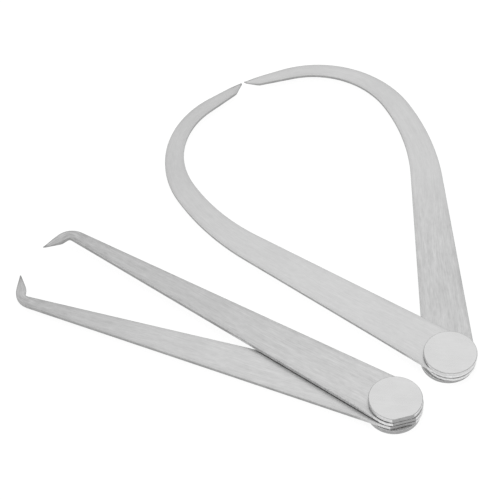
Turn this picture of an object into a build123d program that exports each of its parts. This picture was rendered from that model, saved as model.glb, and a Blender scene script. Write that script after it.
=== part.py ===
from build123d import *
from math import cos, radians, sin, tan
import os

# A pair of firm-joint calipers lying side by side, in millimetres.
#
# Outside caliper: two bowed legs whose points nearly meet.
# Inside caliper: two straight tapered legs, crossed, with hooked points.
#
# The frame: +Z up, the origin on the outside caliper's pivot axis, in the face
# that its bottom disc rests on, and +Y half-way between its legs.
# Each joint is a stack on one flush rivet, from the bottom up:
# disc with a spring washer in it, washer, lower leg, washer, upper leg, washer, disc.

# The joint's stack
DISC_RADIUS = 10.1
DISC_THICKNESS = {"outside": 1.45, "inside": 2.05}
DISC_OUTER_ROUND = 0.3
DISC_INNER_ROUND = 0.12
BOTTOM_DISC_SHIFT = {"outside": (-0.46, 0.84), "inside": (-0.68, -0.18)}  # off centre
FLAT_DISTANCE = 9.35        # from the pivot to the flat ground across the inside joint
FLAT_DIRECTION = 258.0      # degrees from +X
LEG_THICKNESS = {"outside": 1.5, "inside": 1.7}
SIDE_WASHER_THICKNESS = 0.3
MIDDLE_WASHER_THICKNESS = 0.26
WASHER_RADIUS = 9.2
RUNNING_GAP = 0.02          # above and below the leg that turns on the rivet

# The rivet, countersunk and ground flush at both ends
RIVET_RADIUS = 3.0
RIVET_HEAD_RADIUS = 4.5
RIVET_HEAD_DEPTH = 1.4
RIVET_CLEARANCE = 0.04      # around the rivet in the leg that turns
WASHER_CLEARANCE = 0.10     # around the rivet in the washers

# The conical spring washer, in a pocket in the bottom disc's inner face
POCKET_RADIUS = 6.0
POCKET_DEPTH = 0.5
SPRING_RADIUS = 5.8
SPRING_HOLE_RADIUS = 3.6
SPRING_THICKNESS = 0.3

# The outside caliper's leg: the left one, seen from above
OUTSIDE_ROOT_RADIUS = 9.8
OUTER_EDGE_LEAN = 23.2      # degrees between the leg's straight outer edge and +Y
INNER_EDGE_LEAN = 27.8
OUTER_BOW_CENTRE = (-11.6, 118.4)
OUTER_BOW_RADIUS = 41.0
OUTER_BOW_END_SLOPE = 7.0   # degrees of the edge that follows the bow
INNER_BOW_CENTRE = (-11.3, 122.1)
INNER_BOW_RADIUS = 32.1
INNER_BOW_END_SLOPE = 14.0
POINT_Y = 161.0
POINT_HALF_GAP = 0.55
POINT_NOSE = 0.7            # the flat on the end of the point
POINT_CHAMFER_X = -5.2      # where the chamfer to the point begins
SET_START_Y = 23.0          # each leg slopes from here to here, so that the points meet
SET_END_Y = 150.0

# The inside caliper's leg: the upper one, along +Y, with its hook towards -X
INSIDE_ROOT_RADIUS = 10.4
LEG_TAPER = 3.2             # degrees on each edge
HOOK_Y = {"upper": 150.1, "lower": 152.0}  # the hook's outer edge where it would meet X = 0
HOOK_WIDTH = 4.2
HOOK_OUTER_SLOPE = 12.0     # degrees past a right angle, away from the pivot
HOOK_INNER_SLOPE = 16.0
HOOK_OUTER_ROUND = 7.5
HOOK_INNER_ROUND = 1.2
HOOK_REACH = 11.5           # from the leg's centre line to the point
HOOK_CHAMFER_REACH = 5.6
HOOK_NOSE = 0.4

# The ground points: each thins from the leg's thickness over this length
POINT_BEVEL_LENGTH = 5.0
POINT_END_THICKNESS = 0.5
POINT_CUT_HALF_WIDTH = 15.0

# How the two calipers lie
INSIDE_PIVOT = (-29.5, -9.5)
INSIDE_DIRECTION = 124.4    # degrees from +X to half-way between the inside legs
INSIDE_HALF_ANGLE = 7.0


def polar(centre, radius, angle):
    """The point at an angle, in degrees, on a circle."""
    a = radians(angle)
    return (centre[0] + radius * cos(a), centre[1] + radius * sin(a))


def stack_levels(caliper, turning):
    """The height of the underside of each layer, where one leg turns."""
    disc_thickness = DISC_THICKNESS[caliper]
    leg_thickness = LEG_THICKNESS[caliper]
    gap = {"lower": 0.0, "upper": 0.0}
    gap[turning] = RUNNING_GAP
    layers = [
        ("bottom_disc", disc_thickness, 0.0),
        ("lower_washer", SIDE_WASHER_THICKNESS, 0.0),
        ("lower_leg", leg_thickness, gap["lower"]),
        ("middle_washer", MIDDLE_WASHER_THICKNESS, 0.0),
        ("upper_leg", leg_thickness, gap["upper"]),
        ("upper_washer", SIDE_WASHER_THICKNESS, 0.0),
        ("top_disc", disc_thickness, 0.0),
    ]
    levels = {}
    z = 0.0
    for name, thickness, layer_gap in layers:
        levels[name] = z + layer_gap
        z += thickness + 2 * layer_gap
    levels["height"] = z
    return levels


def bow_edge(lean, root_side, bow_centre, bow_radius, end_slope):
    """A leg's edge, from its root to where it runs straight to the point.

    A line tangent to the root circle, a shallow arc, then the tighter arc of the
    bow, each tangent to the next. Returns the edges and their two end points.
    """
    root = OUTSIDE_ROOT_RADIUS
    normal = (-cos(radians(lean)), -sin(radians(lean)))
    widest_x = bow_centre[0] - bow_radius
    # The shallow arc's centre is level with the bow's, so that both are upright
    # at the widest point, and its distance from the line is its radius.
    along = widest_x * normal[0] + bow_centre[1] * normal[1]
    shallow_radius = (root_side * root - along) / (1.0 + normal[0])
    shallow_centre = (widest_x + shallow_radius, bow_centre[1])
    foot = (root_side * root * normal[0], root_side * root * normal[1])
    line_end = polar(shallow_centre, shallow_radius, 180.0 + lean)
    edges = [
        Line(foot, line_end),
        CenterArc(shallow_centre, shallow_radius, 180.0 + lean, -lean),
        CenterArc(bow_centre, bow_radius, 180.0, -(90.0 - end_slope)),
    ]
    return edges, foot, polar(bow_centre, bow_radius, 90.0 + end_slope)


def outside_leg_face():
    """The left bowed leg, seen from above."""
    outer, outer_foot, outer_end = bow_edge(
        OUTER_EDGE_LEAN, 1, OUTER_BOW_CENTRE, OUTER_BOW_RADIUS, OUTER_BOW_END_SLOPE)
    inner, inner_foot, inner_end = bow_edge(
        INNER_EDGE_LEAN, -1, INNER_BOW_CENTRE, INNER_BOW_RADIUS, INNER_BOW_END_SLOPE)
    chamfer_y = inner_end[1] + (POINT_CHAMFER_X - inner_end[0]) * tan(radians(INNER_BOW_END_SLOPE))
    point = Polyline(
        outer_end,
        (-POINT_HALF_GAP, POINT_Y),
        (-POINT_HALF_GAP, POINT_Y - POINT_NOSE),
        (POINT_CHAMFER_X, chamfer_y),
        inner_end,
    )
    heel = ThreePointArc(inner_foot, (0.0, -OUTSIDE_ROOT_RADIUS), outer_foot)
    return make_face(outer + inner + [point, heel])


def inside_leg_face(hook_y):
    """The upper hooked leg, seen from above, along +Y with its hook towards -X."""
    root = INSIDE_ROOT_RADIUS
    taper = radians(LEG_TAPER)
    outer_rise = tan(radians(HOOK_OUTER_SLOPE))
    inner_rise = tan(radians(HOOK_INNER_SLOPE))
    inner_y = hook_y - HOOK_WIDTH
    foot_x = root * cos(taper)
    foot_y = root * sin(taper)

    def half_width(y):
        return foot_x - (y - foot_y) * tan(taper)

    corner_y = hook_y - half_width(hook_y) * outer_rise
    crotch_y = inner_y + half_width(inner_y) * inner_rise
    tip_y = hook_y + HOOK_REACH * outer_rise
    chamfer = (-HOOK_CHAMFER_REACH, inner_y + HOOK_CHAMFER_REACH * inner_rise)
    edge = FilletPolyline(
        (foot_x, foot_y),
        (half_width(corner_y), corner_y),
        (-HOOK_REACH, tip_y),
        radius=HOOK_OUTER_ROUND,
    )
    nose = Polyline((-HOOK_REACH, tip_y), (-HOOK_REACH, tip_y - HOOK_NOSE), chamfer)
    back = FilletPolyline(
        chamfer,
        (-half_width(crotch_y), crotch_y),
        (-foot_x, foot_y),
        radius=HOOK_INNER_ROUND,
    )
    heel = ThreePointArc((-foot_x, foot_y), (0.0, -root), (foot_x, foot_y))
    return make_face([edge, nose, back, heel])


def point_cutters(tip_x, tip_y, mid_z, thickness, towards):
    """What is ground off above and below a point that faces +X or -X.

    The leg thins equally on both faces towards the end of the point.
    """
    start_x = tip_x - towards * POINT_BEVEL_LENGTH
    cutters = []
    for side in (-1, 1):
        flat_z = mid_z + side * thickness / 2
        end_z = mid_z + side * POINT_END_THICKNESS / 2
        wedge = Polyline(
            (start_x, flat_z),
            (tip_x, end_z),
            (tip_x + towards, end_z),
            (tip_x + towards, flat_z + side),
            (start_x, flat_z + side),
            close=True,
        )
        cutter = extrude(Plane.XZ * make_face(wedge), POINT_CUT_HALF_WIDTH, both=True)
        cutters.append(Pos(0, tip_y, 0) * cutter)
    return cutters


def set_band(offset):
    """The side view of a leg that is bent just past the joint, drawn out along X.

    The leg is level at the joint and at its point, which is offset up or down by
    the given height, and slopes from one to the other.
    """
    thickness = LEG_THICKNESS["outside"]
    outline = Polyline(
        (-POINT_Y, 0.0),
        (SET_START_Y, 0.0),
        (SET_END_Y, offset),
        (POINT_Y, offset),
        (POINT_Y, offset + thickness),
        (SET_END_Y, offset + thickness),
        (SET_START_Y, thickness),
        (-POINT_Y, thickness),
        close=True,
    )
    return extrude(Plane.YZ * make_face(outline), POINT_Y, both=True)


def outside_leg(offset, hole_radius):
    """The left bowed leg, bent so that its point is offset, with the point ground."""
    thickness = LEG_THICKNESS["outside"]
    leg = extrude(outside_leg_face(), 2 * thickness, both=True) & set_band(offset)
    mid_z = offset + thickness / 2
    for cutter in point_cutters(-POINT_HALF_GAP, POINT_Y, mid_z, thickness, towards=1):
        leg -= cutter
    return leg - Cylinder(hole_radius, 4 * thickness)


def inside_leg(hook_y, hole_radius):
    """The upper hooked leg, flat, with its point ground."""
    thickness = LEG_THICKNESS["inside"]
    leg = extrude(inside_leg_face(hook_y), thickness)
    for cutter in point_cutters(-HOOK_REACH, hook_y, thickness / 2, thickness, towards=-1):
        leg -= cutter
    return leg - Cylinder(hole_radius, 4 * thickness)


def countersink():
    """The space that a rivet head fills, widest at Z = 0."""
    return Pos(0, 0, RIVET_HEAD_DEPTH / 2) * Cone(RIVET_HEAD_RADIUS, RIVET_RADIUS, RIVET_HEAD_DEPTH)


def disc(thickness, rim_centre=(0.0, 0.0)):
    """A plain disc whose outer face is at Z = 0, countersunk for the rivet."""
    body = Pos(*rim_centre, thickness / 2) * Cylinder(DISC_RADIUS, thickness)
    rims = body.edges().filter_by(GeomType.CIRCLE).sort_by(Axis.Z)
    body = fillet(rims[:1], DISC_OUTER_ROUND)
    rims = body.edges().filter_by(GeomType.CIRCLE).sort_by(Axis.Z)
    body = fillet(rims[-1:], DISC_INNER_ROUND)
    body -= countersink()
    return body - Pos(0, 0, thickness / 2) * Cylinder(RIVET_RADIUS, 2 * thickness)


def bottom_disc(thickness, rim_centre):
    """The bottom disc, a little off centre, with the spring washer's pocket."""
    pocket = Pos(0, 0, thickness - POCKET_DEPTH / 2) * Cylinder(POCKET_RADIUS, POCKET_DEPTH)
    return disc(thickness, rim_centre) - pocket


def ground_flat():
    """What is ground off the inside caliper's top disc and the heels of its legs."""
    block = Box(DISC_RADIUS, 2 * DISC_RADIUS, 2 * DISC_RADIUS)
    return Rot(0, 0, FLAT_DIRECTION) * Pos(FLAT_DISTANCE + DISC_RADIUS / 2, 0, 0) * block


def spring_washer(disc_thickness):
    """A conical spring washer, pressed between the pocket's floor and the washer above."""
    floor_z = disc_thickness - POCKET_DEPTH
    section = Polyline(
        (SPRING_RADIUS, floor_z),
        (SPRING_RADIUS, floor_z + SPRING_THICKNESS),
        (SPRING_HOLE_RADIUS, disc_thickness),
        (SPRING_HOLE_RADIUS, disc_thickness - SPRING_THICKNESS),
        close=True,
    )
    return revolve(Plane.XZ * make_face(section), Axis.Z)


def washer(thickness):
    """A flat washer with its underside at Z = 0, a little smaller than the discs."""
    ring = Cylinder(WASHER_RADIUS, thickness)
    ring -= Cylinder(RIVET_RADIUS + WASHER_CLEARANCE, 2 * thickness)
    return Pos(0, 0, thickness / 2) * ring


def rivet(height):
    """The rivet: a shank with a countersunk head at each end."""
    shank = Pos(0, 0, height / 2) * Cylinder(RIVET_RADIUS, height)
    top_head = Pos(0, 0, height) * Rot(180, 0, 0) * countersink()
    return shank + countersink() + top_head


def joint_pieces(name, levels):
    """Everything on one rivet except the legs, as a dictionary of named solids."""
    height = levels["height"]
    thickness = DISC_THICKNESS[name]
    pieces = {
        "bottom_disc": bottom_disc(thickness, BOTTOM_DISC_SHIFT[name]),
        "spring_washer": spring_washer(thickness),
        "top_disc": Pos(0, 0, height) * Rot(180, 0, 0) * disc(thickness),
        "rivet": rivet(height),
    }
    for layer in ("lower_washer", "upper_washer"):
        pieces[layer] = Pos(0, 0, levels[layer]) * washer(SIDE_WASHER_THICKNESS)
    middle = levels["middle_washer"]
    pieces["middle_washer"] = Pos(0, 0, middle) * washer(MIDDLE_WASHER_THICKNESS)
    return {f"{name}_{piece}": solid for piece, solid in pieces.items()}


def outside_caliper():
    """The outside caliper. Its upper leg is keyed to the rivet, and the lower one turns."""
    levels = stack_levels("outside", turning="lower")
    offset = (levels["upper_leg"] - levels["lower_leg"]) / 2
    left = outside_leg(-offset, RIVET_RADIUS)
    right = mirror(outside_leg(offset, RIVET_RADIUS + RIVET_CLEARANCE), Plane.YZ)
    pieces = joint_pieces("outside", levels)
    pieces["outside_left_leg"] = Pos(0, 0, levels["upper_leg"]) * left
    pieces["outside_right_leg"] = Pos(0, 0, levels["lower_leg"]) * right
    return pieces


def inside_caliper():
    """The inside caliper. Its lower leg is keyed to the rivet, and the upper one turns."""
    levels = stack_levels("inside", turning="upper")
    upper_turn = INSIDE_DIRECTION - 90.0 - INSIDE_HALF_ANGLE
    lower_turn = INSIDE_DIRECTION - 90.0 + INSIDE_HALF_ANGLE
    upper = inside_leg(HOOK_Y["upper"], RIVET_RADIUS + RIVET_CLEARANCE)
    lower = mirror(inside_leg(HOOK_Y["lower"], RIVET_RADIUS), Plane.YZ)
    pieces = joint_pieces("inside", levels)
    pieces["inside_upper_leg"] = Pos(0, 0, levels["upper_leg"]) * Rot(0, 0, upper_turn) * upper
    pieces["inside_lower_leg"] = Pos(0, 0, levels["lower_leg"]) * Rot(0, 0, lower_turn) * lower
    for ground in ("inside_top_disc", "inside_upper_leg", "inside_lower_leg"):
        pieces[ground] -= ground_flat()
    place = Pos(INSIDE_PIVOT[0], INSIDE_PIVOT[1], 0)
    return {name: place * solid for name, solid in pieces.items()}


os.makedirs("parts", exist_ok=True)
for name, solid in {**outside_caliper(), **inside_caliper()}.items():
    export_step(solid, f"parts/{name}.step")
    print(name, round(solid.volume, 1))
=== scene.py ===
from math import cos, inf, pi, radians, sin

import bmesh
import bpy
import numpy as np
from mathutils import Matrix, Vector


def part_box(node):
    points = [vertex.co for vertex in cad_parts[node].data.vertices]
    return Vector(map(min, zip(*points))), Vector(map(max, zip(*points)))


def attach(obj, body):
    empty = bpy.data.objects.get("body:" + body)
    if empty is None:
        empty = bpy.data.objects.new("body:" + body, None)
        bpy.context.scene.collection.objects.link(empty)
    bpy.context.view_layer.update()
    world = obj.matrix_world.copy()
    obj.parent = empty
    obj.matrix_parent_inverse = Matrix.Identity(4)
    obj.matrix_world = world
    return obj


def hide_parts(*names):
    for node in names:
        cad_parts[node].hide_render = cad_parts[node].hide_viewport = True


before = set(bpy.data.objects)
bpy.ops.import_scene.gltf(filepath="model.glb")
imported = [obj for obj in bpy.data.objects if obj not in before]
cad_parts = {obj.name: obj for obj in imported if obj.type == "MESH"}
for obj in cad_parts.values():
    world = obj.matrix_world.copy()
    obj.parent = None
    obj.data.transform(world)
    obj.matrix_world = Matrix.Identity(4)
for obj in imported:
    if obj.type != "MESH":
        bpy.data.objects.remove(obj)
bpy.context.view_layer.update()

# The looks of a pair of firm joint calipers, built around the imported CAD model.
# Everything is in metres, in the CAD model's frame. Each leg is rebuilt from its CAD
# outline with rounded arrises, a grain direction and separate face and edge
# materials. The discs and rivets are turned afresh at a higher resolution, and the
# washers stay the CAD nodes.

MM = 0.001

# The legs
STATIONS = 260              # along each edge of a leg
COLUMNS = 10                # across a leg's faces
FACE_NORMAL_Z = 0.7         # the least upright a CAD face may be and still count as a leg's face
SEARCH_DENSITY = 8          # places tried on the facing edge for each station
FACING_SHARE = 0.75         # how much the stations follow the facing edge, not even spacing
SMOOTHING_WINDOW = 9        # stations that are averaged
SHARPEST_CORNER = 0.6       # limits how much an outline's normals lengthen at its corners
SHORTEST_STEP = 1e-12       # keeps a step of no length from dividing by zero
FULL_THICKNESS = 1.5 * MM   # where a leg is thinner than this, its arrises are smaller
ARRIS_RADIUS = 0.21 * MM
ARRIS_STEPS = 4
ARRIS_DROP = 0.01 * MM      # from the roll-off down to where the arris starts
ROLL_OFF = ((0.45, 0.018), (0.9, 0.007), (1.6, 0.0))  # inset and drop, in mm, of a worn edge
ROLL_OFF_MARGIN = 0.2 * MM  # a narrow leg, as at its point, has a narrower roll-off
ROLL_OFF_WIDTH = 2.4 * MM   # half a leg's width, with the margin, that has the full roll-off
POINT_LENGTH = 6.5 * MM     # the length that is ground to a point
POINT_RIDGE = 0.26 * MM     # the height of the ridge along a ground point
POINT_RIDGE_POWER = 0.7     # how fast the ridge rises towards the point
LEG_SHARP_ANGLE = radians(50)
GRAIN_LAYER = "grain"
RIM_LAYER = "rim"

# The discs and rivets
TURNED_SEGMENTS = 144
TURNED_SHARP_ANGLE = radians(35)
TURNED_SIDE_NORMAL_Z = 0.3  # the most upright a turned face may be and still be a side
RIVET_RADIUS = 3.0 * MM
RIVET_HEAD_RADIUS = 4.5 * MM
RIVET_HEAD_DEPTH = 1.4 * MM
BORE_CLEARANCE = 0.04 * MM  # between the rivet and a leg
BORE_SEGMENTS = 64
DISC_OUTER_ROUND = 0.32 * MM
DISC_INNER_ROUND = 0.12 * MM
DISC_FACE_INSET = 0.45 * MM  # a ring of points here keeps the disc's face flat when shaded
ROUND_STEPS = 5
POCKET_RADIUS = 6.0 * MM    # of the spring washer's pocket in a bottom disc
POCKET_DEPTH = 0.5 * MM
FLATS = {"inside": (9.35 * MM, radians(258))}  # distance and direction from the pivot
NO_FLAT = (inf, 0.0)
FLAT_EDGE_SHARE = 0.3       # how round a flat's edges are, next to the disc's rim
FLAT_TOLERANCE = 0.25 * MM  # how far behind the flat a face's middle may be
FLAT_NORMAL_Z = 0.9         # the most upright a leg's face may be and still be on the flat

# The places of a piece's materials
FACE, EDGE, FLAT = range(3)

CALIPERS = ("outside", "inside")
LEGS = {
    "outside_left_leg": "outside_caliper",
    "outside_right_leg": "outside_right_arm",
    "inside_upper_leg": "inside_upper_arm",
    "inside_lower_leg": "inside_caliper",
}
# Each leg's grey at its heel and at its point, where one starts to turn into the other
# and ends, in mm from the heel, how strong its wide and its fine streaks are, how many
# times stronger they are at the point, and how dark the pits at its rim are. Its edge is
# painted lighter, as painted light, for a length from the heel, in mm, and then has the grey of
# a sheared edge
LEG_FINISHES = {
    "outside_left_leg": {
        "heel": 0.600, "point": 0.542, "start": 80.0, "end": 165.0,
        "wide": 0.02, "fine": 0.055, "at_point": 1.0, "pits": 0.04,
        "painted_light_length": 16.0, "sheared": 0.35},
    "outside_right_leg": {
        "heel": 0.540, "point": 0.582, "start": 60.0, "end": 105.0,
        "wide": 0.06, "fine": 0.10, "at_point": 0.5, "pits": 0.04,
        "painted_light_length": 16.0, "sheared": 0.35},
    "inside_upper_leg": {
        "heel": 0.565, "point": 0.455, "start": 40.0, "end": 160.0,
        "wide": 0.05, "fine": 0.09, "at_point": 2.2, "pits": 0.15,
        "painted_light_length": 74.0, "sheared": 0.33},
    "inside_lower_leg": {
        "heel": 0.580, "point": 0.450, "start": 85.0, "end": 160.0,
        "wide": 0.04, "fine": 0.08, "at_point": 2.2, "pits": 0.05,
        "painted_light_length": 16.0, "sheared": 0.35},
}
PAINTED_LIGHT_GREY = 0.74         # painted light: the lighter grey of every leg's edge near its heel
PAINTED_LIGHT_FADE = 10.0         # mm, from the painted lighter edge to the sheared one
POINT_STREAK_FADE = 30.0    # mm, over which the streaks change to those of the point


# Geometry ---------------------------------------------------------------------------

def pivot(caliper):
    """The place of a caliper's pivot axis, from its rivet."""
    low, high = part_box(f"{caliper}_rivet")
    return (low + high) / 2


def on_flat(point, centre, flat):
    """Whether a point is on the flat ground across the joint that has this centre."""
    distance, direction = flat
    facing = Vector((cos(direction), sin(direction), 0.0))
    return (point - centre).dot(facing) > distance - FLAT_TOLERANCE


def face_rim(mesh, upward):
    """The points round a leg's upper or lower face, in order, from its CAD mesh."""
    def key(index):
        return tuple(round(c, 7) for c in mesh.vertices[index].co)

    edges = set()
    for polygon in mesh.polygons:
        if (polygon.normal.z if upward else -polygon.normal.z) > FACE_NORMAL_Z:
            corners = [key(i) for i in polygon.vertices]
            edges.update(zip(corners, corners[1:] + corners[:1]))
    following = {a: b for a, b in edges if (b, a) not in edges}
    loops = []
    while following:
        start, point = following.popitem()
        loop = [start]
        while point != start:
            loop.append(point)
            point = following.pop(point)
        loops.append(np.array(loop))
    return max(loops, key=lambda loop: np.ptp(loop[:, 0]) + np.ptp(loop[:, 1]))


def distance_along(points):
    """Distance along a line of points, from its first one."""
    steps = np.linalg.norm(np.diff(points[:, :2], axis=0), axis=1)
    return np.concatenate([[0.0], np.cumsum(steps)])


def sample(points, places):
    """Points at the given distances along a line of points."""
    along = distance_along(points)
    return np.stack([np.interp(places, along, points[:, k]) for k in range(3)], axis=1)


def leg_edges(rim, centre):
    """A face's rim as two lines, one each side, both from the heel to the point."""
    flat = rim[:, :2] - np.array(centre[:2])
    tip = int(np.argmax(np.linalg.norm(flat, axis=1)))
    heel = int(np.argmin(flat @ flat[tip]))
    ring = np.roll(rim, -heel, axis=0)
    tip = (tip - heel) % len(rim)
    first = ring[:tip + 1]
    second = np.concatenate([ring[tip:], ring[:1]])[::-1]
    return first, second


def matched_stations(first, second):
    """Places along two edges that face each other, evenly spaced along the first."""
    length_a, length_b = distance_along(first)[-1], distance_along(second)[-1]
    even = np.linspace(0.0, 1.0, STATIONS + 1)
    points = sample(first, even * length_a)
    dense = np.linspace(0.0, 1.0, SEARCH_DENSITY * STATIONS)
    facing = sample(second, dense * length_b)
    nearest = [dense[np.argmin(np.linalg.norm(facing[:, :2] - p[:2], axis=1))] for p in points]
    nearest = np.maximum.accumulate(np.array(nearest))
    nearest[0], nearest[-1] = 0.0, 1.0
    share = FACING_SHARE * nearest + (1 - FACING_SHARE) * even
    window = np.ones(SMOOTHING_WINDOW) / SMOOTHING_WINDOW
    padded = np.pad(share, SMOOTHING_WINDOW // 2, mode="edge")
    smooth = np.convolve(padded, window, mode="valid")
    smooth[0], smooth[-1] = 0.0, 1.0
    return even * length_a, smooth * length_b


def outline_normals(loop):
    """Outward normals of a closed loop of points, lengthened at its corners."""
    step = np.roll(loop, -1, axis=0) - loop
    step = step / np.maximum(np.linalg.norm(step, axis=1, keepdims=True), SHORTEST_STEP)
    ahead = np.stack([step[:, 1], -step[:, 0]], axis=1)
    behind = np.roll(ahead, 1, axis=0)
    middle = ahead + behind
    middle = middle / np.maximum(np.linalg.norm(middle, axis=1, keepdims=True), SHORTEST_STEP)
    return middle / np.maximum(np.sum(middle * ahead, axis=1, keepdims=True), SHARPEST_CORNER)


class LegMesh:
    """Collects a leg's points and faces, with a grain direction for each point."""

    def __init__(self):
        self.points = []
        self.grain = []
        self.rim = []
        self.faces = []
        self.kinds = []

    def add(self, point, grain, rim):
        self.points.append(point)
        self.grain.append(grain)
        self.rim.append(rim)
        return len(self.points) - 1

    def face(self, corners, kind):
        kept = [c for c, after in zip(corners, corners[1:] + corners[:1]) if c != after]
        if len(kept) > 2:
            self.faces.append(kept)
            self.kinds.append(kind)

    def build(self, name, materials):
        mesh = bpy.data.meshes.new(name)
        mesh.from_pydata(self.points, [], self.faces)
        layer = mesh.uv_layers.new(name=GRAIN_LAYER)
        for loop in mesh.loops:
            layer.data[loop.index].uv = self.grain[loop.vertex_index]
        rim = mesh.attributes.new(RIM_LAYER, "FLOAT", "POINT")
        rim.data.foreach_set("value", self.rim)
        for material in materials:
            mesh.materials.append(material)
        mesh.polygons.foreach_set("material_index", self.kinds)
        mesh.update()
        mesh.set_sharp_from_angle(angle=LEG_SHARP_ANGLE)
        piece = bpy.data.objects.new(name, mesh)
        bpy.context.scene.collection.objects.link(piece)
        return piece


def leg_profile():
    """A leg's cross-section at one edge, from its face round the arris to its edge.

    Each entry is the inset from the outline and the depth below the face, in metres,
    and whether it is part of the face rather than of the sheared edge.
    """
    pits_and_painted_edge_shade = [(inset * MM, drop * MM, True) for inset, drop in reversed(ROLL_OFF)]
    start_drop = pits_and_painted_edge_shade[-1][1] + ARRIS_DROP
    arris = []
    for step in range(ARRIS_STEPS + 1):
        angle = step / ARRIS_STEPS * pi / 2
        inset = ARRIS_RADIUS * (1 - sin(angle))
        depth = start_drop + ARRIS_RADIUS * (1 - cos(angle))
        arris.append((inset, depth, step < ARRIS_STEPS))
    return pits_and_painted_edge_shade + arris


def leg_piece(node, materials):
    """A leg rebuilt from its CAD node's outline."""
    caliper = node.split("_")[0]
    centre = pivot(caliper)
    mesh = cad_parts[node].data
    upper = leg_edges(face_rim(mesh, True), centre)
    lower = leg_edges(face_rim(mesh, False)[::-1], centre)
    places = matched_stations(*upper)
    sides = []
    for top, under, place in zip(upper, lower, places):
        scale = distance_along(under)[-1] / distance_along(top)[-1]
        line = sample(top, place)
        depth_line = sample(under, place * scale)
        sides.append(np.column_stack([line, depth_line[:, 2]]))
    first, second = sides
    loop = np.concatenate([first, second[-2:0:-1]])
    normals = outline_normals(loop[:, :2])
    width = np.linalg.norm(first[:, :2] - second[:, :2], axis=1)
    along = distance_along((first[:, :3] + second[:, :3]) / 2)
    station = list(range(STATIONS + 1)) + list(range(STATIONS - 1, 0, -1))
    side = [1.0] * (STATIONS + 1) + [-1.0] * (STATIONS - 1)
    out = LegMesh()

    def ring(inset, depth, is_top):
        indices = []
        ridge = POINT_RIDGE * (1 - inset / (ROLL_OFF[-1][0] * MM)) if is_top else 0.0
        for k, (x, y, high, low) in enumerate(loop):
            half = width[station[k]] / 2
            share = min(1.0, (half + ROLL_OFF_MARGIN) / ROLL_OFF_WIDTH)
            thickness_share = min(1.0, (high - low) / FULL_THICKNESS)
            move = inset * share if inset > ARRIS_RADIUS else inset * thickness_share
            moved = Vector((x, y)) - Vector(normals[k]) * move
            to_point = 1 - (along[-1] - along[station[k]]) / POINT_LENGTH
            drop = depth * thickness_share + ridge * max(0.0, to_point) ** POINT_RIDGE_POWER
            z = high - drop if is_top else low + drop
            across = side[k] * (half - move + depth)
            point = (moved.x, moved.y, z)
            indices.append(out.add(point, (along[station[k]] / MM, across / MM), inset / MM))
        return indices

    def skin(a, b, kind):
        count = len(a)
        for k in range(count):
            after = (k + 1) % count
            out.face([a[k], b[k], b[after], a[after]], kind)

    def fill(edge, is_top):
        rows = [[edge[0]] * (COLUMNS + 1)]
        for i in range(1, STATIONS):
            left, right = edge[i], edge[-i]
            p, q = Vector(out.points[left]), Vector(out.points[right])
            g, h = Vector(out.grain[left]), Vector(out.grain[right])
            row = [left]
            for c in range(1, COLUMNS):
                t = c / COLUMNS
                row.append(out.add(tuple(p.lerp(q, t)), tuple(g.lerp(h, t)), ROLL_OFF[-1][0]))
            rows.append(row + [right])
        rows.append([edge[STATIONS]] * (COLUMNS + 1))
        for a, b in zip(rows, rows[1:]):
            for c in range(COLUMNS):
                corners = [a[c], b[c], b[c + 1], a[c + 1]]
                out.face(corners if is_top else corners[::-1], FACE)

    profile = leg_profile()
    top = [ring(inset, depth, True) for inset, depth, _ in profile]
    bottom = [ring(inset, depth, False) for inset, depth, _ in profile]
    for k in range(len(profile) - 1):
        kind = FACE if profile[k][2] else EDGE
        skin(top[k], top[k + 1], kind)
        skin(bottom[k + 1], bottom[k], kind)
    skin(top[-1], bottom[-1], EDGE)
    fill(top[0], True)
    fill(bottom[0], False)
    piece = out.build(f"{node}_sheet", materials)
    flat = FLATS.get(caliper, NO_FLAT)
    for polygon in piece.data.polygons:
        if abs(polygon.normal.z) < FLAT_NORMAL_Z and on_flat(polygon.center, centre, flat):
            polygon.material_index = FLAT
    bore(piece, centre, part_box(node))
    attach(piece, LEGS[node])
    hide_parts(node)


def bore(piece, centre, node_box):
    """Cuts the rivet's hole through a leg."""
    low, high = node_box
    bpy.ops.mesh.primitive_cylinder_add(
        vertices=BORE_SEGMENTS, radius=RIVET_RADIUS + BORE_CLEARANCE, depth=4 * (high.z - low.z),
        location=(centre.x, centre.y, (high.z + low.z) / 2))
    cutter = bpy.context.object
    cut = piece.modifiers.new("bore", "BOOLEAN")
    cut.object = cutter
    cut.operation = "DIFFERENCE"
    cut.solver = "EXACT"
    evaluated = piece.evaluated_get(bpy.context.evaluated_depsgraph_get())
    mesh = bpy.data.meshes.new_from_object(evaluated)
    piece.modifiers.clear()
    piece.data = mesh
    bpy.data.objects.remove(cutter)


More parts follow.
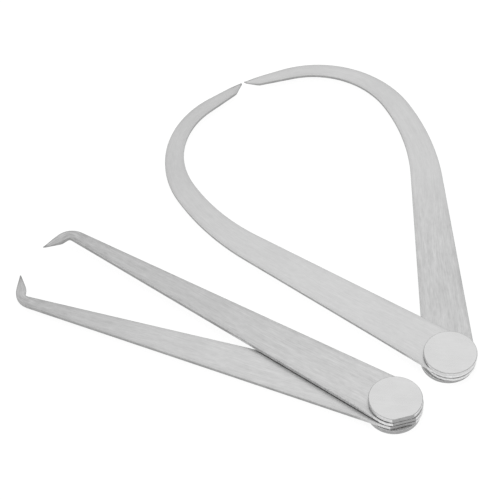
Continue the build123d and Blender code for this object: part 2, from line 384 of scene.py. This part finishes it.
def turned(name, section, centre, materials, rim_centre=None, flat=NO_FLAT):
    """A solid of revolution about a pivot axis, from a closed section of (radius, z).

    What is wider than the spring washer's pocket can be off centre and have a flat on it.
    The materials are those of its faces, its side and its flat.
    """
    rim_centre = rim_centre or centre
    distance, direction = flat
    widest = max(radius for radius, _ in section)
    mesh = bpy.data.meshes.new(name)
    bm = bmesh.new()
    rings = []
    for radius, z in section:
        if radius == 0:
            rings.append([bm.verts.new((centre.x, centre.y, z))] * TURNED_SEGMENTS)
            continue
        ring = []
        middle = rim_centre if radius > POCKET_RADIUS else centre
        flat_distance = distance - FLAT_EDGE_SHARE * (widest - radius)
        for k in range(TURNED_SEGMENTS):
            angle = 2 * pi * k / TURNED_SEGMENTS
            across = cos(angle - direction)
            reach = min(radius, flat_distance / across) if across > 0 else radius
            x = middle.x + reach * cos(angle)
            y = middle.y + reach * sin(angle)
            ring.append(bm.verts.new((x, y, z)))
        rings.append(ring)
    for a, b in zip(rings, rings[1:] + rings[:1]):
        for k in range(TURNED_SEGMENTS):
            after = (k + 1) % TURNED_SEGMENTS
            corners = list(dict.fromkeys([a[k], a[after], b[after], b[k]]))
            if len(corners) > 2:
                bm.faces.new(corners)
    bmesh.ops.recalc_face_normals(bm, faces=bm.faces)
    bm.to_mesh(mesh)
    bm.free()
    for material in materials:
        mesh.materials.append(material)
    for polygon in mesh.polygons:
        polygon.use_smooth = True
        if abs(polygon.normal.z) < TURNED_SIDE_NORMAL_Z:
            polygon.material_index = FLAT if on_flat(polygon.center, centre, flat) else EDGE
    mesh.set_sharp_from_angle(angle=TURNED_SHARP_ANGLE)
    piece = bpy.data.objects.new(name, mesh)
    bpy.context.scene.collection.objects.link(piece)
    return piece


def quarter_round(radius, z, fillet, up):
    """A rounded corner of a turned section, from its face at z round to its side."""
    points = []
    for step in range(ROUND_STEPS + 1):
        angle = step / ROUND_STEPS * pi / 2
        r = radius - fillet * (1 - sin(angle))
        points.append((r, z - up * fillet * (1 - cos(angle))))
    return points


def rivet_seat(outer, inner, up):
    """The section of a disc's hole, from its inner end to the countersink's wide end."""
    depth = abs(outer - inner)
    if depth > RIVET_HEAD_DEPTH:
        return [(RIVET_RADIUS, inner), (RIVET_RADIUS, outer - up * RIVET_HEAD_DEPTH)]
    taper = (RIVET_HEAD_RADIUS - RIVET_RADIUS) / RIVET_HEAD_DEPTH
    return [(RIVET_HEAD_RADIUS - taper * depth, inner)]


def disc_piece(caliper, place, materials):
    """A disc, countersunk for the rivet, with a worn rim and, below, the spring's pocket."""
    node = f"{caliper}_{place}_disc"
    low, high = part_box(node)
    radius = (high.x - low.x) / 2
    up = 1 if place == "top" else -1
    outer, inner = (high.z, low.z) if place == "top" else (low.z, high.z)
    section = [(RIVET_HEAD_RADIUS, outer), (radius - DISC_FACE_INSET, outer)]
    section += quarter_round(radius, outer, DISC_OUTER_ROUND, up)
    section += quarter_round(radius, inner, DISC_INNER_ROUND, -up)[::-1]
    if place == "top":
        shape = {"flat": FLATS.get(caliper, NO_FLAT)}
    else:
        shape = {"rim_centre": (low + high) / 2}
        pocket_floor = inner - POCKET_DEPTH
        section += [(POCKET_RADIUS, inner), (POCKET_RADIUS, pocket_floor)]
        inner = pocket_floor
    section += rivet_seat(outer, inner, up)
    piece = turned(f"{node}_turned", section, pivot(caliper), materials, **shape)
    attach(piece, f"{caliper}_caliper")
    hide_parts(node)


def rivet_piece(caliper, material):
    """The rivet, with a countersunk head at each end, flush with the discs."""
    node = f"{caliper}_rivet"
    low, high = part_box(node)
    section = [
        (0, low.z),
        (RIVET_HEAD_RADIUS, low.z),
        (RIVET_RADIUS, low.z + RIVET_HEAD_DEPTH),
        (RIVET_RADIUS, high.z - RIVET_HEAD_DEPTH),
        (RIVET_HEAD_RADIUS, high.z),
        (0, high.z),
    ]
    piece = turned(f"{node}_turned", section, pivot(caliper), [material] * 2)
    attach(piece, f"{caliper}_caliper")
    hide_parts(node)


# Materials --------------------------------------------------------------------------

class Shader:
    """A short way to write a node material."""

    def __init__(self, name):
        self.material = bpy.data.materials.new(name)
        self.material.use_nodes = True
        self.tree = self.material.node_tree
        self.surface = self.tree.nodes["Principled BSDF"]

    def node(self, kind, inputs=None, **settings):
        made = self.tree.nodes.new(kind)
        for key, value in settings.items():
            setattr(made, key, value)
        for key, value in (inputs or {}).items():
            self.link(value, made.inputs[key])
        return made

    def link(self, value, socket):
        if isinstance(value, bpy.types.NodeSocket):
            self.tree.links.new(value, socket)
        else:
            socket.default_value = value

    def grain(self):
        """Coordinates along and across a leg, in mm."""
        return self.node("ShaderNodeUVMap", uv_map=GRAIN_LAYER).outputs["UV"]

    def space(self):
        """Coordinates in the piece's own space, in metres."""
        return self.node("ShaderNodeTexCoord").outputs["Object"]

    def noise(self, coordinates, scale, detail=3.0, roughness=0.5):
        stretch = self.node("ShaderNodeMapping", {"Vector": coordinates, "Scale": scale})
        made = self.node(
            "ShaderNodeTexNoise",
            {"Vector": stretch.outputs["Vector"], "Scale": 1.0, "Detail": detail,
             "Roughness": roughness})
        return made.outputs["Fac"]

    def remap(self, value, low, high, new_low, new_high):
        made = self.node(
            "ShaderNodeMapRange",
            {"Value": value, "From Min": low, "From Max": high, "To Min": new_low,
             "To Max": new_high})
        return made.outputs["Result"]

    def math(self, operation, a, b):
        made = self.node("ShaderNodeMath", {0: a, 1: b}, operation=operation)
        return made.outputs["Value"]

    def tint(self, value, dark, light):
        made = self.node("ShaderNodeMix", {"Factor": value}, data_type="RGBA")
        made.inputs["A"].default_value = (*dark, 1.0)
        made.inputs["B"].default_value = (*light, 1.0)
        return [o for o in made.outputs if o.type == "RGBA"][0]

    def coat(self, colour, roughness, height, strength, distance=0.02 * MM, metallic=1.0):
        """Gives the surface its colour, roughness and marks, as deep as the distance."""
        self.surface.inputs["Metallic"].default_value = metallic
        self.link(colour, self.surface.inputs["Base Color"])
        self.link(roughness, self.surface.inputs["Roughness"])
        bump = self.node(
            "ShaderNodeBump", {"Height": height, "Strength": strength, "Distance": distance})
        self.link(bump.outputs["Normal"], self.surface.inputs["Normal"])
        return self.material


def grey(level):
    """A neutral grey."""
    return (level, level, level)


def leg_face_steel(name, finish):
    """Steel sheet, ground along the leg, with long streaks, pits near its edges, a painted shade
    on the rolled-off band along its edges and a painted highlight on its arrises.
    """
    s = Shader(name)
    grain = s.grain()
    space = s.space()
    along = s.node("ShaderNodeSeparateXYZ", {"Vector": grain}).outputs["X"]
    streaks = s.noise(grain, (0.05, 0.45, 1.0), detail=2.0)
    lines = s.noise(grain, (0.17, 2.0, 1.0), detail=2.0, roughness=0.6)
    clouds = s.noise(space, (70.0, 70.0, 70.0), detail=3.0)
    mottle = s.noise(grain, (0.35, 0.7, 1.0), detail=3.0, roughness=0.6)
    rim = s.node("ShaderNodeAttribute", attribute_name=RIM_LAYER).outputs["Fac"]
    wide, fine = finish["wide"], finish["fine"]
    change = s.math(
        "ADD", s.remap(streaks, 0.3, 0.7, -wide, wide), s.remap(lines, 0.3, 0.7, -fine, fine))
    change = s.math("ADD", change, s.remap(clouds, 0.3, 0.7, -0.015, 0.015))
    change = s.math("ADD", change, s.remap(mottle, 0.3, 0.7, -0.5 * fine, 0.5 * fine))
    strength = s.remap(
        along, finish["end"] - POINT_STREAK_FADE, finish["end"], 1.0, finish["at_point"])
    change = s.math("MULTIPLY", change, strength)
    pits = s.noise(grain, (0.7, 1.1, 1.0), detail=3.0, roughness=0.6)
    darkness = s.remap(pits, 0.50, 0.66, 0.0, finish["pits"])
    pits = s.math("MULTIPLY", darkness, s.remap(rim, 0.3, 1.5, 1.0, 0.0))
    # pits near the rim, and a painted shade: the rolled-off band along the edges is painted up
    # to 5% darker, as the roll-off turns away from the light
    pits_and_painted_edge_shade = s.math("ADD", pits, s.remap(rim, 0.45, 1.4, 0.05, 0.0))
    # painted highlight: the arrises are painted up to 22% lighter, standing in for the light
    # they catch
    painted_arris_highlight = s.remap(rim, 0.08, 0.24, 1.22, 1.0)
    level = s.remap(along, finish["start"], finish["end"], finish["heel"], finish["point"])
    level = s.math("MULTIPLY", level, s.math("ADD", s.math("SUBTRACT", change, pits_and_painted_edge_shade), painted_arris_highlight))
    roughness = s.remap(lines, 0.25, 0.75, 0.30, 0.42)
    return s.coat(level, roughness, lines, strength=0.2, distance=0.03 * MM)


def leg_edge_steel(name, finish):
    """The sheared edge of the sheet: darker, except near the heel, where it is painted lighter
    as painted light.
    """
    s = Shader(name)
    grain = s.grain()
    marks = s.noise(grain, (2.0, 0.5, 1.0), detail=4.0)
    bands = s.noise(grain, (0.15, 3.0, 1.0), detail=3.0)
    mixed = s.math("ADD", s.math("MULTIPLY", marks, 0.5), s.math("MULTIPLY", bands, 0.5))
    along = s.node("ShaderNodeSeparateXYZ", {"Vector": grain}).outputs["X"]
    painted_light_length = finish["painted_light_length"]
    # painted light: the edge is painted a lighter grey from the heel for the given length,
    # standing in for the light it would catch
    level = s.remap(along, painted_light_length, painted_light_length + PAINTED_LIGHT_FADE, PAINTED_LIGHT_GREY, finish["sheared"])
    level = s.math("MULTIPLY", level, s.remap(mixed, 0.3, 0.7, 0.75, 1.25))
    roughness = s.remap(marks, 0.25, 0.75, 0.38, 0.55)
    return s.coat(level, roughness, marks, strength=0.3, distance=0.04 * MM)


def disc_edge_steel(name, level):
    """The turned edge of a disc, or a flat ground on it."""
    s = Shader(name)
    space = s.space()
    marks = s.noise(space, (900.0, 900.0, 3000.0), detail=4.0)
    colour = s.tint(s.remap(marks, 0.3, 0.7, 0.0, 1.0), grey(0.78 * level), grey(1.22 * level))
    roughness = s.remap(marks, 0.25, 0.75, 0.35, 0.5)
    return s.coat(colour, roughness, marks, strength=0.3, distance=0.04 * MM)


def disc_steel(name, level, roughest):
    """The discs' faces and the rivets: finely ground flush, with faint cross marks."""
    s = Shader(name)
    space = s.space()
    turned_space = s.node(
        "ShaderNodeMapping", {"Vector": space, "Rotation": (0.0, 0.0, radians(35))})
    turned_space = turned_space.outputs["Vector"]
    lines = s.noise(turned_space, (120.0, 1300.0, 300.0), detail=2.0)
    clouds = s.noise(space, (120.0, 120.0, 120.0), detail=3.0, roughness=0.5)
    mixed = s.math("ADD", s.math("MULTIPLY", lines, 0.25), s.math("MULTIPLY", clouds, 0.75))
    shade = s.remap(mixed, 0.32, 0.68, 0.0, 1.0)
    colour = s.tint(shade, grey(0.95 * level), grey(1.05 * level))
    roughness = s.remap(clouds, 0.25, 0.75, roughest - 0.10, roughest)
    return s.coat(colour, roughness, lines, strength=0.05)


def fibre():
    """The friction washers' dark hard fibre."""
    s = Shader("friction_fibre")
    space = s.space()
    flecks = s.noise(space, (2500.0, 2500.0, 2500.0), detail=4.0, roughness=0.7)
    shade = s.remap(flecks, 0.3, 0.7, 0.0, 1.0)
    colour = s.tint(shade, (0.045, 0.04, 0.035), (0.12, 0.105, 0.09))
    roughness = s.remap(flecks, 0.3, 0.7, 0.6, 0.8)
    return s.coat(colour, roughness, flecks, strength=0.3, metallic=0.0)


def spring_steel():
    """The spring washers' tempered steel, with its grey raised as painted light so the shaded
    gap round it reads lighter.
    """
    s = Shader("spring_steel")
    space = s.space()
    stains = s.noise(space, (400.0, 400.0, 400.0), detail=4.0)
    shade = s.remap(stains, 0.3, 0.7, 0.0, 1.0)
    # painted light: these greys are raised so the shaded gap round the washer reads lighter
    colour = s.tint(shade, (0.38, 0.39, 0.42), (0.52, 0.51, 0.50))
    roughness = s.remap(stains, 0.3, 0.7, 0.25, 0.4)
    return s.coat(colour, roughness, stains, strength=0.1)


# Stage ------------------------------------------------------------------------------

def floor_material():
    """Seamless white paper, lit from behind, that takes only faint shadows."""
    s = Shader("floor_white")
    space = s.space()
    mottle = s.noise(space, (6.0, 6.0, 6.0), detail=2.0)
    s.link(s.tint(mottle, grey(0.24), grey(0.26)), s.surface.inputs["Base Color"])
    s.surface.inputs["Roughness"].default_value = 0.9
    s.surface.inputs["Specular IOR Level"].default_value = 0.0
    s.surface.inputs["Emission Color"].default_value = (1.0, 1.0, 1.0, 1.0)
    s.surface.inputs["Emission Strength"].default_value = 0.86
    return s.material


FLOOR_SIZE = 6.0
FLOOR_HEIGHT = -0.01 * MM
WORLD_STRENGTH = 0.55
LIGHT_TARGET = Vector((0.0, 0.08, 0.0))
LIGHT_DISTANCE = 1.6
SOFTBOXES = {  # azimuth, elevation, width and height, and watts
    "overhead_softbox": (150, 60, (1.8, 1.8), 6.0),
    "side_softbox": (-110, 35, (1.2, 0.8), 2.0),
    "front_softbox": (-29, 78, (0.7, 0.7), 1.2),
}
CAMERA_TARGET = Vector((-0.0387, 0.0847, 0.0))
CAMERA_AZIMUTH = -28.9
CAMERA_ELEVATION = 50.0
CAMERA_DISTANCE = 1.160
CAMERA_LENS = 216.0
SENSOR_WIDTH = 36.0


def make_floor():
    """A wide floor, just below what stands on it."""
    bpy.ops.mesh.primitive_plane_add(size=FLOOR_SIZE, location=(0, 0, FLOOR_HEIGHT))
    floor = bpy.context.object
    floor.name = "studio_floor"
    floor.data.materials.append(floor_material())


def make_world():
    """Even white light from all round."""
    world = bpy.data.worlds.new("studio")
    world.use_nodes = True
    background = world.node_tree.nodes["Background"]
    background.inputs["Color"].default_value = (1.0, 1.0, 1.0, 1.0)
    background.inputs["Strength"].default_value = WORLD_STRENGTH
    bpy.context.scene.world = world


def aimed(data, target, azimuth, elevation, distance):
    """A light or a camera that faces a target from a distance."""
    a, e = radians(azimuth), radians(elevation)
    back = Vector((sin(a) * cos(e), -cos(a) * cos(e), sin(e)))
    made = bpy.data.objects.new(data.name, data)
    made.location = target + back * distance
    made.rotation_mode = "QUATERNION"
    made.rotation_quaternion = (-back).to_track_quat("-Z", "Y")
    bpy.context.scene.collection.objects.link(made)
    return made


def make_lights():
    """The soft boxes that face the object."""
    for name, (azimuth, elevation, size, watts) in SOFTBOXES.items():
        data = bpy.data.lights.new(name, "AREA")
        data.shape = "RECTANGLE"
        data.size, data.size_y = size
        data.energy = watts
        aimed(data, LIGHT_TARGET, azimuth, elevation, LIGHT_DISTANCE)


def make_camera():
    """The camera, at the photo's view."""
    data = bpy.data.cameras.new("camera")
    data.lens = CAMERA_LENS
    data.sensor_width = SENSOR_WIDTH
    bpy.context.scene.camera = aimed(
        data, CAMERA_TARGET, CAMERA_AZIMUTH, CAMERA_ELEVATION, CAMERA_DISTANCE)


# The object -------------------------------------------------------------------------

flat_material = disc_edge_steel("ground_flat", 0.36)
for leg, finish in LEG_FINISHES.items():
    face_material = leg_face_steel(f"{leg}_face", finish)
    edge_material = leg_edge_steel(f"{leg}_edge", finish)
    leg_piece(leg, [face_material, edge_material, flat_material])
disc_faces = {
    # painted light: the bottom discs' faces are lighter than the top ones', so the shaded strip
    # of them in the gap under the lower leg reads lighter
    "bottom": disc_steel("bottom_disc_steel_painted_light", 0.80, 0.60),
    "top": disc_steel("disc_steel", 0.625, 0.34),
}
fibre_material = fibre()
washer_materials = {
    "lower": fibre_material,
    "middle": fibre_material,
    "upper": fibre_material,
    "spring": spring_steel(),
}
disc_sides = {
    # painted shade: the bottom discs' sides are darker than the top ones', for the shadow that
    # falls on them under the stack
    "bottom": disc_edge_steel("bottom_disc_edge_painted_shade", 0.38),
    "top": disc_edge_steel("top_disc_edge", 0.66),
}
for caliper in CALIPERS:
    for place, side_material in disc_sides.items():
        disc_piece(caliper, place, [disc_faces[place], side_material, flat_material])
    rivet_piece(caliper, disc_faces["top"])
    for layer, material in washer_materials.items():
        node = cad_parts[f"{caliper}_{layer}_washer"]
        node.data.materials.clear()
        node.data.materials.append(material)

make_floor()
make_world()
make_lights()
make_camera()
bpy.context.scene.view_settings.view_transform = "Standard"
